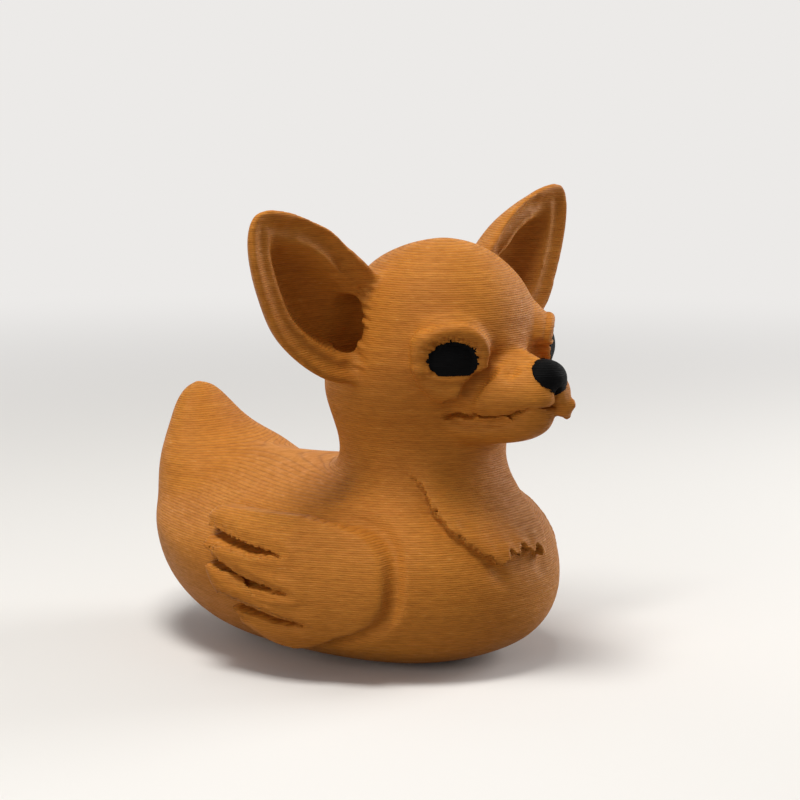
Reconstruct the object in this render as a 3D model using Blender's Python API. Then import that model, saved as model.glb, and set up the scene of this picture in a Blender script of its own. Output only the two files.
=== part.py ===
"""A small printed duck figurine with a chihuahua's head, which stands on a flat base.

The figure is one print: the whole duck is tan filament, and the eyes and the nose tip were laid
down in black filament in pockets of the same print. It has no moving pieces.

Axes: +X is the way the duck faces, +Y its left side, +Z up. The origin is on the flat base,
under the middle of the body.
"""

import math

import bmesh
import bpy
import numpy as np
from mathutils import Matrix, Vector
from mathutils.bvhtree import BVHTree

MM = 0.001

# Body: a hull with its widest belt low down, a raised tail and a round breast.
BREAST_REACH = 30.6
REAR_REACH = 32.5
BODY_HALF_WIDTH = 23.6
WIDEST_STATION = 1.0
PLAN_EXPONENT_FRONT = 2.05
PLAN_EXPONENT_REAR = 2.05
END_EXPONENT_TOP_REAR = 9.0
END_EXPONENT_TOP_FRONT = 2.6
END_EXPONENT_BOTTOM_REAR = 2.6
END_EXPONENT_BOTTOM_FRONT = 3.4
BELLY_EXPONENT = 2.2
SHOULDER_LINE = ((-32.0, 1.45), (-20.0, 1.4), (-6.0, 1.85), (6.0, 2.1), (31.0, 2.3))
TOP_LINE = (
    (-32.5, 26.0), (-28.0, 26.8), (-24.0, 26.2), (-20.0, 25.7), (-15.0, 25.5), (-9.0, 25.6), (4.0, 26.5),
    (12.0, 26.8), (20.0, 26.2), (26.0, 24.8), (31.0, 21.0),
)
BELT_LINE = ((-32.5, 19.0), (-24.0, 16.5), (-10.0, 14.0), (5.0, 12.5), (20.0, 11.5), (31.0, 11.5))
UNDER_LINE = (
    (-32.5, 5.0), (-24.0, 1.4), (-14.0, -0.2), (-4.0, -0.5), (6.0, -0.5), (16.0, -0.4), (22.0, 0.0),
    (31.0, 1.2),
)

# Tail, then neck and head: level rings. Height, rear end, front end, half width.
TAIL_RINGS = (
    (12.0, -29.0, -5.0, 13.8),
    (16.0, -32.2, -8.0, 14.4),
    (20.0, -33.2, -12.0, 13.8),
    (25.0, -33.6, -20.0, 11.0),
    (27.0, -33.9, -24.4, 8.4),
    (29.0, -34.1, -26.6, 6.6),
    (31.0, -34.0, -28.2, 5.2),
    (33.0, -33.4, -29.8, 3.7),
    (34.1, -32.7, -30.8, 1.8),
    (34.4, -32.0, -31.4, 0.6),
)
HEAD_RINGS = (
    (18.0, -4.5, 26.5, 14.5),
    (22.0, -2.4, 25.6, 13.2),
    (25.0, -0.4, 24.2, 11.9),
    (28.0, 1.0, 23.5, 11.2),
    (31.0, 0.6, 23.8, 11.6),
    (34.0, -0.3, 24.9, 12.8),
    (37.0, -0.9, 26.1, 13.9),
    (40.0, -0.6, 27.2, 14.3),
    (43.0, 0.6, 28.1, 14.1),
    (46.0, 1.5, 28.4, 13.4),
    (49.0, 2.8, 27.8, 12.6),
    (52.0, 3.9, 26.3, 11.2),
    (55.0, 6.9, 23.4, 8.2),
    (57.0, 11.4, 19.8, 4.4),
    (57.8, 15.2, 16.4, 0.6),
)

# Muzzle and lower jaw: upright rings from inside the face to the lips. Station, centre above the
# muzzle's height, half width, rise, drop.
MUZZLE_HEIGHT = 38.0
MUZZLE_RINGS = (
    (16.0, 1.0, 10.5, 6.0, 5.0),
    (22.0, 0.8, 9.6, 5.6, 4.4),
    (26.0, 0.6, 8.2, 5.2, 4.4),
    (29.0, 0.5, 6.9, 4.7, 4.2),
    (31.5, 0.4, 5.8, 4.1, 3.6),
    (33.5, 0.3, 4.9, 3.4, 2.5),
    (35.0, 0.1, 3.8, 2.4, 1.9),
    (35.8, 0.0, 2.2, 1.2, 1.2),
    (36.0, 0.0, 0.5, 0.3, 0.3),
)
JAW_RINGS = (
    (14.0, -3.0, 10.0, 4.5, 5.5),
    (22.0, -3.4, 7.6, 4.0, 4.2),
    (27.0, -3.5, 5.6, 3.0, 3.4),
    (30.5, -3.3, 4.0, 2.6, 2.9),
    (33.2, -2.8, 2.5, 2.2, 2.0),
    (34.5, -2.4, 0.6, 0.8, 0.8),
)
MUZZLE_EXPONENT = 2.3

# Ears: a leaf outline seen from the front, from the crown over the tip to the lobe. Out, up.
EAR_OUTLINE = (
    (9.5, 52.0), (11.5, 54.5), (15.3, 57.6), (19.0, 60.4), (25.1, 62.7), (30.5, 63.1), (32.2, 60.2),
    (31.6, 55.5), (30.1, 51.2), (28.2, 47.2), (25.6, 44.2), (21.5, 41.2), (17.0, 39.3), (12.5, 39.6),
    (9.5, 43.0), (8.5, 47.5),
)
EAR_PLANE = 13.5
EAR_SWEEP = 0.1
EAR_SWEEP_FROM = 15.0
EAR_DEPTH = 7.4

# The ear's face: a round rim, a groove and a second ridge round a bowl, with a deep hollow behind
# the fur at the head.
EAR_RIM_WIDTH = 1.7
EAR_GROOVE_INSET = 2.5
EAR_GROOVE_DEPTH = 1.5
EAR_RIDGE_INSET = 3.4
EAR_RIDGE_DEPTH = 0.5
EAR_BOWL_INSET = 4.1
EAR_BOWL_CENTRE = (14.5, 48.0)
EAR_BOWL_DEPTH = 5.9
EAR_HOLLOW_CENTRE = (10.3, 12.9, 46.6)
EAR_HOLLOW_HALF = (2.6, 2.9, 4.7)

# Eyes: a mound for the lids, a thick roll over its top, and a black ball set in it. The ball's
# underside is level, where the lower lid's edge runs. Places round an eye: towards the nose, up.
EYE_AZIMUTH = 42.0
EYE_STATION = 15.0
EYE_HEIGHT = 43.3
LID_CENTRE_OUT = 12.6
LID_HALF_WIDTH = 5.4
LID_HALF_HEIGHT = 5.8
LID_THICKNESS = 3.0
LID_ROLL_HALF_WIDTH = 4.7
LID_ROLL_HALF_HEIGHT = 4.1
LID_ROLL_THICKNESS = 1.35
LID_ROLL_FROM = 178.0
LID_ROLL_TO = -14.0
LID_ROLL_SUNK = 0.4
EYE_HALF_WIDTH = 3.6
EYE_HALF_HEIGHT = 3.0
EYE_THICKNESS = 2.4
EYE_STANDS = 0.25
EYE_FLOOR = 2.15
CHEEK_BAG = ((-4.4, -2.8), (-2.9, -4.2), (-0.6, -4.9), (1.2, -4.5))
CHEEK_CREASE = ((6.3, -0.9), (5.5, -2.8), (3.8, -4.8), (1.9, -6.4), (0.6, -7.5))

# Wing: a raised plate on the flank with three slots between its four feathers. Ahead, up.
WING_OUTLINE = (
    (-6.3, 19.6), (-5.6, 20.8), (-2.3, 21.1), (2.6, 21.3), (7.0, 21.4), (11.0, 21.4), (15.3, 21.2),
    (18.2, 20.2), (20.6, 18.1), (21.7, 15.5), (22.0, 12.3), (21.2, 9.3), (18.5, 7.0), (14.0, 5.3),
    (10.0, 4.7), (6.0, 5.3), (3.2, 7.0), (1.6, 8.0), (0.1, 9.7), (-2.2, 11.9), (-3.3, 13.4),
    (-4.3, 14.9), (-5.3, 17.2), (-5.4, 18.0),
)
WING_RISE_TIPS = 2.0
WING_RISE_FRONT = 1.3
WING_BLOCK_FROM = 8.0
WING_BLOCK_TO = 40.0
SLOT_OVERSHOOT = 2.0
FEATHER_SLOTS = (
    (
        (-7.5, 19.4), (-2.9, 19.0), (0.6, 18.3), (4.8, 17.8), (8.0, 17.2), (4.4, 16.6), (-0.8, 17.0),
        (-5.1, 17.6), (-7.5, 17.8),
    ),
    (
        (-7.5, 17.2), (-4.4, 16.8), (-1.0, 15.3), (2.8, 13.9), (5.8, 13.2), (9.8, 12.3), (6.1, 11.8),
        (1.9, 12.3), (-3.2, 14.9), (-7.5, 15.4),
    ),
    (
        (-1.5, 10.9), (2.2, 10.2), (5.2, 9.6), (8.2, 9.0), (11.4, 8.0), (8.5, 7.6), (5.4, 8.1),
        (2.0, 8.4), (-1.5, 9.4),
    ),
)


# Bib: the chest fur, a shallow raised patch that ends in points. To the left, up.
BIB_OUTLINE = (
    (-8.4, 29.0), (-8.9, 24.4), (-9.0, 20.8), (-8.2, 18.9), (-6.4, 16.9), (-4.0, 15.2), (-2.8, 16.8),
    (-1.5, 16.1), (0.0, 17.3), (1.5, 16.1), (2.8, 16.8), (4.0, 15.2), (6.4, 16.9), (7.8, 18.9),
    (7.6, 20.8), (6.4, 24.4), (5.6, 29.0),
)
BIB_RISE = 1.2
BIB_FADE_FROM = 20.0
BIB_FADE_TO = 30.0
BIB_BLOCK_FROM = 14.0
BIB_BLOCK_TO = 45.0
BIB_GROOVE = ((-9.3, 25.5), (-9.8, 22.5), (-9.4, 19.6), (-8.2, 17.4), (-6.0, 15.4), (-4.2, 14.3))

# Lines of the right side of the mouth, on the skin, and the groove from the nose to the lips.
# Station, to the left, above the muzzle's height.
MOUTH_LINE = (
    (24.2, -7.7, -3.2), (25.4, -7.2, -3.5), (27.2, -6.5, -3.8), (28.9, -5.7, -3.8), (31.1, -4.7, -3.2),
    (33.3, -3.8, -2.2), (34.6, -2.4, -1.5), (35.2, 0.0, -1.3),
)
LIP_GROOVE = ((35.5, 0.0, -1.4), (36.0, 0.0, 1.2))

# Nose tip: a black ball in a seat at the front of the muzzle.
NOSE_SETBACK = 2.4
NOSE_RISE = 2.5
NOSE_HALF_LENGTH = 2.8
NOSE_HALF_WIDTH = 2.9
NOSE_HALF_HEIGHT = 2.2

# Folds pressed into the skin: half width of the press and its depth, with a ridge given as a rise.
BAG_SPREAD, BAG_RISE = 2.4, 0.6
CREASE_SPREAD, CREASE_DEPTH = 2.0, 1.2
MOUTH_SPREAD, MOUTH_DEPTH = 0.9, 0.9
LIP_GROOVE_SPREAD, LIP_GROOVE_DEPTH = 1.1, 0.7
BIB_GROOVE_SPREAD, BIB_GROOVE_DEPTH = 1.5, 0.5

# Where the skin is melted smooth: the neck's foot, the tail's foot, the face, the wing's front.
NECK_MELT_LOW, NECK_MELT_HIGH, NECK_MELT_REAR = 20.0, 33.0, -10.0
TAIL_MELT_LOW, TAIL_MELT_FRONT = 20.0, -8.0
FACE_MELT_LOW = 26.0
FLANK_MELT_REAR, FLANK_MELT_HIGH, FLANK_MELT_OUT = 13.0, 24.0, 13.0

POCKET_GAP = 0.3

# Filament colours, in linear light.
TAN = (0.52, 0.25, 0.07)
BLACK = (0.004, 0.004, 0.005)

# Fineness of the modelled skin.
CORE_GRAIN = 0.8
SKIN_GRAIN = 0.45
SKIN_FACES = 10400
RING_POINTS = 64
STATIONS = 56
BALL_POINTS = 16
LINE_POINTS = 24
RING_END = 0.2


def smooth_through(points, at):
    """The value at a place on a smooth curve through the points, each a place and a value."""
    places = [p[0] for p in points]
    if at <= places[0]:
        return points[0][1]
    if at >= places[-1]:
        return points[-1][1]
    i = max(k for k in range(len(points) - 1) if places[k] <= at)

    def slope(k):
        a, b = max(k - 1, 0), min(k + 1, len(points) - 1)
        return (points[b][1] - points[a][1]) / (points[b][0] - points[a][0])

    step = places[i + 1] - places[i]
    t = (at - places[i]) / step
    low, high = points[i][1], points[i + 1][1]
    return (
        (2 * t**3 - 3 * t**2 + 1) * low
        + (t**3 - 2 * t**2 + t) * step * slope(i)
        + (3 * t**2 - 2 * t**3) * high
        + (t**3 - t**2) * step * slope(i + 1)
    )


def rounding(share, exponent):
    """How much of a superellipse's width is left at a share of its length."""
    return max(1.0 - min(abs(share), 1.0) ** exponent, 0.0) ** (1.0 / exponent)


def clean_objects():
    for obj in list(bpy.data.objects):
        bpy.data.objects.remove(obj, do_unlink=True)


def add_object(name, mesh):
    obj = bpy.data.objects.new(name, mesh)
    bpy.context.scene.collection.objects.link(obj)
    return obj


def loft(name, rings):
    """A closed skin over rings of points, which are in millimetres and all hold as many points."""
    bm = bmesh.new()
    rows = [[bm.verts.new(Vector(p) * MM) for p in ring] for ring in rings]
    for low, high in zip(rows, rows[1:]):
        for i in range(len(low)):
            j = (i + 1) % len(low)
            bm.faces.new((low[i], low[j], high[j], high[i]))
    bm.faces.new(rows[0][::-1])
    bm.faces.new(rows[-1])
    bmesh.ops.recalc_face_normals(bm, faces=bm.faces)
    mesh = bpy.data.meshes.new(name)
    bm.to_mesh(mesh)
    bm.free()
    return add_object(name, mesh)


def hull_ring(x):
    """The body's section at a station: a full belly below the belt and a back or a tail above it."""
    ahead = x >= WIDEST_STATION
    reach = (BREAST_REACH if ahead else REAR_REACH) + WIDEST_STATION * (-1 if ahead else 1)
    plan_exponent = PLAN_EXPONENT_FRONT if ahead else PLAN_EXPONENT_REAR
    share = (x - WIDEST_STATION) / reach
    width = BODY_HALF_WIDTH * rounding(share, plan_exponent)
    belt = smooth_through(BELT_LINE, x)
    top_exponent = END_EXPONENT_TOP_FRONT if ahead else END_EXPONENT_TOP_REAR
    bottom_exponent = END_EXPONENT_BOTTOM_FRONT if ahead else END_EXPONENT_BOTTOM_REAR
    rise = (smooth_through(TOP_LINE, x) - belt) * rounding(share, top_exponent)
    drop = (belt - smooth_through(UNDER_LINE, x)) * rounding(share, bottom_exponent)
    up_exponent = smooth_through(SHOULDER_LINE, x)
    ring = []
    for k in range(RING_POINTS):
        angle = 2 * math.pi * k / RING_POINTS
        c, s = math.cos(angle), math.sin(angle)
        exponent = up_exponent if s >= 0 else BELLY_EXPONENT
        y = math.copysign(abs(c) ** (2 / exponent), c) * width
        z = math.copysign(abs(s) ** (2 / exponent), s) * (rise if s >= 0 else drop)
        ring.append((x, y, belt + z))
    return ring


def stations():
    """Places along the body, closer together towards its two ends."""
    middle, half = (BREAST_REACH - REAR_REACH) / 2, (BREAST_REACH + REAR_REACH) / 2
    return [middle - half * math.cos(math.pi * (k + 0.35) / (STATIONS - 0.3)) for k in range(STATIONS)]


def make_hull():
    return loft("hull", [hull_ring(x) for x in stations()])


def level_rings(name, table):
    """A form on level rings, such as the tail or the neck and head."""
    rings = []
    low, high = table[0][0], table[-1][0]
    count = 40
    for k in range(count + 1):
        z = low + (high - low) * math.sin(0.5 * math.pi * k / count)
        rear, front, width = (smooth_through([(r[0], r[c]) for r in table], z) for c in (1, 2, 3))
        rings.append([
            ((rear + front) / 2 + (front - rear) / 2 * math.cos(a), width * math.sin(a), z)
            for a in (2 * math.pi * i / RING_POINTS for i in range(RING_POINTS))
        ])
    return loft(name, rings)


def snout(name, table):
    """A snout-like form on upright rings that narrow towards the front."""
    rings = []
    first, last = table[0][0], table[-1][0]
    count = 24
    for k in range(count + 1):
        x = first + (last - first) * math.sin(0.5 * math.pi * k / count)
        centre, width, rise, drop = (smooth_through([(r[0], r[c]) for r in table], x) for c in (1, 2, 3, 4))
        ring = []
        for i in range(RING_POINTS):
            a = 2 * math.pi * i / RING_POINTS
            c, s = math.cos(a), math.sin(a)
            y = math.copysign(abs(c) ** (2 / MUZZLE_EXPONENT), c) * max(width, RING_END)
            z = math.copysign(abs(s) ** (2 / MUZZLE_EXPONENT), s) * max(rise if s > 0 else drop, RING_END)
            ring.append((x, y, MUZZLE_HEIGHT + centre + z))
        rings.append(ring)
    return loft(name, rings)


def between(a, b, c, d, share):
    """A point between b and c on a smooth curve through the four points."""
    square = (2 * a - 5 * b + 4 * c - d) * share**2
    cube = (3 * b - a - 3 * c + d) * share**3
    return 0.5 * (2 * b + (c - a) * share + square + cube)


def closed_curve(points, count):
    """Points spread evenly by number along a smooth closed curve through the given ones."""
    n = len(points)
    out = []
    for k in range(count):
        t = k * n / count
        i, f = int(t), t - int(t)
        a, b, c, d = (Vector(points[(i + o) % n]) for o in (-1, 0, 1, 2))
        out.append(between(a, b, c, d, f))
    return out


def make_ear(side):
    """A cupped ear: the same leaf outline from the bowl's floor, over the rim and round the back."""
    outline = closed_curve(EAR_OUTLINE, RING_POINTS)
    centre = Vector(EAR_BOWL_CENTRE)
    area = sum(a.x * b.y - b.x * a.y for a, b in zip(outline, outline[1:] + outline[:1]))
    normals = []
    for k in range(len(outline)):
        along = outline[(k + 1) % len(outline)] - outline[k - 1]
        normals.append(Vector((along.y, -along.x)).normalized() * math.copysign(1, area))
    # Inset from the outline, share of the way out from the bowl's centre, depth behind the rim.
    profile = (
        (EAR_BOWL_INSET, 0.1, EAR_BOWL_DEPTH),
        (EAR_BOWL_INSET, 0.45, EAR_BOWL_DEPTH * 0.96),
        (EAR_BOWL_INSET, 0.72, EAR_BOWL_DEPTH * 0.8),
        (EAR_BOWL_INSET, 0.9, EAR_BOWL_DEPTH * 0.5),
        (EAR_BOWL_INSET, 1.0, EAR_GROOVE_DEPTH),
        (EAR_RIDGE_INSET, 1.0, EAR_RIDGE_DEPTH),
        (EAR_GROOVE_INSET, 1.0, EAR_GROOVE_DEPTH),
        (EAR_RIM_WIDTH, 1.0, EAR_GROOVE_DEPTH * 0.5),
        (EAR_RIM_WIDTH * 0.5, 1.0, 0.0),
        (EAR_RIM_WIDTH * 0.1, 1.0, 0.0),
        (0.0, 1.0, EAR_RIM_WIDTH * 0.25),
        (0.0, 0.985, EAR_RIM_WIDTH * 0.6),
        (0.0, 0.93, EAR_DEPTH * 0.3),
        (0.0, 0.8, EAR_DEPTH * 0.6),
        (0.0, 0.55, EAR_DEPTH * 0.87),
        (0.0, 0.2, EAR_DEPTH),
    )
    rings = []
    for inset, scale, depth in profile:
        ring = []
        for p, normal in zip(outline, normals):
            q = centre + (p - normal * inset - centre) * scale
            ring.append((EAR_PLANE + EAR_SWEEP * (EAR_SWEEP_FROM - q.x) - depth, side * q.x, q.y))
        rings.append(ring)
    return loft("ear", rings)


def ball(name, centre, radii, turn=0.0):
    """An ellipsoid, turned about the upright axis."""
    bm = bmesh.new()
    bmesh.ops.create_uvsphere(bm, u_segments=BALL_POINTS, v_segments=BALL_POINTS // 2, radius=MM)
    place = (
        Matrix.Translation(Vector(centre) * MM)
        @ Matrix.Rotation(math.radians(turn), 4, "Z")
        @ Matrix.Diagonal((*radii, 1.0))
    )
    bmesh.ops.transform(bm, matrix=place, verts=bm.verts)
    mesh = bpy.data.meshes.new(name)
    bm.to_mesh(mesh)
    bm.free()
    return add_object(name, mesh)


def eye_place(side, out, inward=0.0, up=0.0):
    """A point this far out from the head's axis, beside the eye's middle towards the nose and up."""
    angle = math.radians(EYE_AZIMUTH)
    return (
        EYE_STATION + out * math.cos(angle) + inward * math.sin(angle),
        side * (out * math.sin(angle) - inward * math.cos(angle)),
        EYE_HEIGHT + up,
    )


def make_lids(side):
    radii = (LID_THICKNESS, LID_HALF_WIDTH, LID_HALF_HEIGHT)
    return ball("lids", eye_place(side, LID_CENTRE_OUT), radii, side * EYE_AZIMUTH)


def make_lid_roll(side):
    """The upper lid: a roll on the mound that goes over the eye and thins out at both corners."""
    angle = math.radians(EYE_AZIMUTH)
    outward = Vector((math.cos(angle), side * math.sin(angle), 0))
    rings = []
    for k in range(LINE_POINTS + 1):
        share = k / LINE_POINTS
        turn = math.radians(LID_ROLL_FROM + (LID_ROLL_TO - LID_ROLL_FROM) * share)
        inward, up = LID_ROLL_HALF_WIDTH * math.cos(turn), LID_ROLL_HALF_HEIGHT * math.sin(turn)
        radius = max(LID_ROLL_THICKNESS * math.sin(math.pi * share) ** 0.5, RING_END)
        skin = LID_THICKNESS * math.sqrt(1 - (inward / LID_HALF_WIDTH) ** 2 - (up / LID_HALF_HEIGHT) ** 2)
        middle = Vector(eye_place(side, LID_CENTRE_OUT + skin - LID_ROLL_SUNK * radius, inward, up))
        across = Vector(eye_place(side, 0, math.cos(turn), math.sin(turn))) - Vector(eye_place(side, 0))
        rings.append([
            middle + radius * (math.cos(a) * outward + math.sin(a) * across)
            for a in (2 * math.pi * i / BALL_POINTS for i in range(BALL_POINTS))
        ])
    return loft("lid_roll", rings)


def fuse(name, pieces, grain):
    """The pieces made one closed skin with an even grain."""
    bm = bmesh.new()
    for piece in pieces:
        bm.from_mesh(piece.data)
        bpy.data.objects.remove(piece, do_unlink=True)
    mesh = bpy.data.meshes.new(name)
    bm.to_mesh(mesh)
    bm.free()
    obj = add_object(name, mesh)
    remesh = obj.modifiers.new("fuse", "REMESH")
    remesh.mode = "VOXEL"
    remesh.voxel_size = grain * MM
    return bake(obj)


def bake(obj):
    """The object with its modifiers made part of its mesh."""
    graph = bpy.context.evaluated_depsgraph_get()
    mesh = bpy.data.meshes.new_from_object(obj.evaluated_get(graph))
    obj.modifiers.clear()
    obj.data = mesh
    return obj


def soften(obj, rounds, where):
    """Melts the creases of the skin where asked."""
    bm = bmesh.new()
    bm.from_mesh(obj.data)
    verts = [v for v in bm.verts if where(v.co / MM)]
    for _ in range(rounds):
        bmesh.ops.smooth_vert(bm, verts=verts, factor=0.5, use_axis_x=True, use_axis_y=True, use_axis_z=True)
    bm.to_mesh(obj.data)
    bm.free()


def press(obj, line, radius, depth):
    """Pushes the skin in along a line by a depth that fades out to nothing at the radius."""
    mesh = obj.data
    count = len(mesh.vertices)
    places = np.empty(count * 3)
    normals = np.empty(count * 3)
    mesh.vertices.foreach_get("co", places)
    mesh.vertex_normals.foreach_get("vector", normals)
    places = places.reshape(-1, 3) / MM
    normals = normals.reshape(-1, 3)
    nearest = np.full(count, np.inf)
    for a, b in zip(line, line[1:]):
        a, b = np.array(a), np.array(b)
        length = max((b - a) @ (b - a), 1e-9)
        share = np.clip((places - a) @ (b - a) / length, 0, 1)
        nearest = np.minimum(nearest, np.linalg.norm(places - a - share[:, None] * (b - a), axis=1))
    fade = np.clip(1 - (nearest / radius) ** 2, 0, 1) ** 2
    places = places - normals * (fade * depth)[:, None]
    mesh.vertices.foreach_set("co", (places * MM).ravel())
    mesh.update()


def laid(obj, line):
    """A smooth line through the points, in millimetres, brought onto the skin."""
    tree = BVHTree.FromObject(obj, bpy.context.evaluated_depsgraph_get())
    ends = [line[0]] + list(line) + [line[-1]]
    points = []
    for k in range(LINE_POINTS + 1):
        t = k / LINE_POINTS * (len(line) - 1)
        i = min(int(t), len(line) - 2)
        f = t - i
        a, b, c, d = (Vector(p) for p in ends[i:i + 4])
        points.append(tuple(tree.find_nearest(between(a, b, c, d, f) * MM)[0] / MM))
    return points


def fold(obj, line, spread, depth):
    """Presses a line given for the right side, and its mirror image, into the skin."""
    line = laid(obj, line)
    for side in (1, -1):
        press(obj, [(x, side * y, z) for x, y, z in line], spread, depth)


def prism(name, outline, axis, start, end):
    """A straight-sided block with the outline given in the two other axes."""
    rings = []
    for depth in (start, end):
        if axis == "Y":
            rings.append([(u, depth, v) for u, v in outline])
        else:
            rings.append([(depth, u, v) for u, v in outline])
    return loft(name, rings)


def combine(obj, tool, operation):
    """The object joined with, cut by or kept inside a tool, which is used up."""
    step = obj.modifiers.new(operation.lower(), "BOOLEAN")
    step.operation = operation
    step.solver = "EXACT"
    step.object = tool
    bake(obj)
    bpy.data.objects.remove(tool, do_unlink=True)
    return obj


def raised(core, rise, block):
    """The part of the core's skin inside a block, moved out by a rise that depends on the place."""
    shell = add_object("raised", core.data.copy())
    places = np.empty(len(shell.data.vertices) * 3)
    normals = np.empty(len(places))
    shell.data.vertices.foreach_get("co", places)
    shell.data.vertex_normals.foreach_get("vector", normals)
    places = places.reshape(-1, 3)
    normals = normals.reshape(-1, 3)
    places += normals * rise(places / MM)[:, None] * MM
    shell.data.vertices.foreach_set("co", places.ravel())
    shell.data.update()
    return combine(shell, block, "INTERSECT")


def make_wing(core, side):
    """The wing's plate, thickest at the feather tips."""
    tips, front = WING_OUTLINE[0][0], WING_OUTLINE[10][0]

    def rise(places):
        share = np.clip((places[:, 0] - tips) / (front - tips), 0, 1)
        return WING_RISE_TIPS + (WING_RISE_FRONT - WING_RISE_TIPS) * share

    start, end = side * WING_BLOCK_FROM, side * WING_BLOCK_TO
    wing = raised(core, rise, prism("block", WING_OUTLINE, "Y", start, end))
    beyond = side * SLOT_OVERSHOOT
    for slot in FEATHER_SLOTS:
        combine(wing, prism("slot", slot, "Y", start - beyond, end + beyond), "DIFFERENCE")
    return wing


def make_bib(core):
    """The chest fur, which fades into the neck."""
    def rise(places):
        return BIB_RISE * np.clip((BIB_FADE_TO - places[:, 2]) / (BIB_FADE_TO - BIB_FADE_FROM), 0.02, 1)

    return raised(core, rise, prism("block", BIB_OUTLINE, "X", BIB_BLOCK_FROM, BIB_BLOCK_TO))


def thin_out(obj, faces):
    """The skin with fewer and larger triangles."""
    step = obj.modifiers.new("thin", "DECIMATE")
    triangles = sum(len(p.vertices) - 2 for p in obj.data.polygons)
    step.ratio = faces / triangles
    return bake(obj)


def flatten(obj, height=0.0):
    """Cuts a solid off at a height and closes it there with a flat face."""
    bm = bmesh.new()
    bm.from_mesh(obj.data)
    cut = bmesh.ops.bisect_plane(
        bm, geom=bm.verts[:] + bm.edges[:] + bm.faces[:], plane_co=(0, 0, height * MM), plane_no=(0, 0, 1),
        clear_inner=True, dist=1e-7,
    )
    rim = [e for e in cut["geom_cut"] if isinstance(e, bmesh.types.BMEdge)]
    bmesh.ops.contextual_create(bm, geom=rim)
    bmesh.ops.recalc_face_normals(bm, faces=bm.faces)
    bm.to_mesh(obj.data)
    bm.free()


def eye_ball(name, side, gap=0.0):
    out = LID_CENTRE_OUT + LID_THICKNESS + EYE_STANDS - EYE_THICKNESS
    radii = (EYE_THICKNESS + gap, EYE_HALF_WIDTH + gap, EYE_HALF_HEIGHT + gap)
    eye = ball(name, eye_place(side, out), radii, side * EYE_AZIMUTH)
    flatten(eye, EYE_HEIGHT - EYE_FLOOR - gap)
    return eye


def nose_ball(name, gap=0.0):
    place = (MUZZLE_RINGS[-1][0] - NOSE_SETBACK, 0, MUZZLE_HEIGHT + NOSE_RISE)
    return ball(name, place, (NOSE_HALF_LENGTH + gap, NOSE_HALF_WIDTH + gap, NOSE_HALF_HEIGHT + gap))


def in_place(line):
    """Points given above the muzzle's height, at their height above the ground."""
    return [(x, y, MUZZLE_HEIGHT + z) for x, y, z in line]


def filament(name, colour):
    """A plain printed plastic in one colour, given in linear light."""
    material = bpy.data.materials.new(name)
    material.use_nodes = True
    shader = material.node_tree.nodes["Principled BSDF"]
    shader.inputs["Base Color"].default_value = (*colour, 1.0)
    shader.inputs["Roughness"].default_value = 0.5
    return material


def finish(obj, material):
    obj.data.materials.clear()
    obj.data.materials.append(material)
    obj.data.shade_smooth()


def make_skin():
    """The whole print's skin, with its forms fused and its folds pressed in."""
    forms = [make_hull(), level_rings("tail", TAIL_RINGS), level_rings("head", HEAD_RINGS)]
    core = fuse("core", forms, CORE_GRAIN)
    soften(core, 14, lambda p: NECK_MELT_LOW < p.z < NECK_MELT_HIGH and p.x > NECK_MELT_REAR)
    soften(core, 20, lambda p: p.x < TAIL_MELT_FRONT and p.z > TAIL_MELT_LOW)
    pieces = [make_wing(core, -1), make_wing(core, 1), make_bib(core), core]
    pieces += [snout("muzzle", MUZZLE_RINGS), snout("jaw", JAW_RINGS)]
    for side in (-1, 1):
        pieces += [make_ear(side), make_lids(side), make_lid_roll(side)]
    skin = fuse("duck_body", pieces, SKIN_GRAIN)
    for side in (-1, 1):
        x, y, z = EAR_HOLLOW_CENTRE
        combine(skin, ball("hollow", (x, side * y, z), EAR_HOLLOW_HALF), "DIFFERENCE")
    soften(skin, 1, lambda p: True)
    soften(skin, 1, lambda p: p.z > FACE_MELT_LOW)
    soften(
        skin, 12, lambda p: p.x > FLANK_MELT_REAR and p.z < FLANK_MELT_HIGH and abs(p.y) > FLANK_MELT_OUT
    )
    fold(skin, [eye_place(1, LID_CENTRE_OUT, *p) for p in CHEEK_BAG], BAG_SPREAD, -BAG_RISE)
    fold(skin, [eye_place(1, LID_CENTRE_OUT, *p) for p in CHEEK_CREASE], CREASE_SPREAD, CREASE_DEPTH)
    fold(skin, in_place(MOUTH_LINE), MOUTH_SPREAD, MOUTH_DEPTH)
    fold(skin, [(BREAST_REACH, y, z) for y, z in BIB_GROOVE], BIB_GROOVE_SPREAD, BIB_GROOVE_DEPTH)
    press(skin, laid(skin, in_place(LIP_GROOVE)), LIP_GROOVE_SPREAD, LIP_GROOVE_DEPTH)
    return skin


def main():
    clean_objects()
    tan = filament("tan_filament", TAN)
    black = filament("black_filament", BLACK)
    duck = make_skin()
    thin_out(duck, SKIN_FACES)
    flatten(duck)
    for side, name in ((-1, "eye_right"), (1, "eye_left")):
        combine(duck, eye_ball("pocket", side, POCKET_GAP), "DIFFERENCE")
        finish(eye_ball(name, side), black)
    combine(duck, nose_ball("seat", POCKET_GAP), "DIFFERENCE")
    finish(nose_ball("nose_tip"), black)
    finish(duck, tan)


main()
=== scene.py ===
import math

import bmesh
import bpy
import numpy as np
from mathutils import Matrix, Vector
from mathutils.bvhtree import BVHTree


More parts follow.
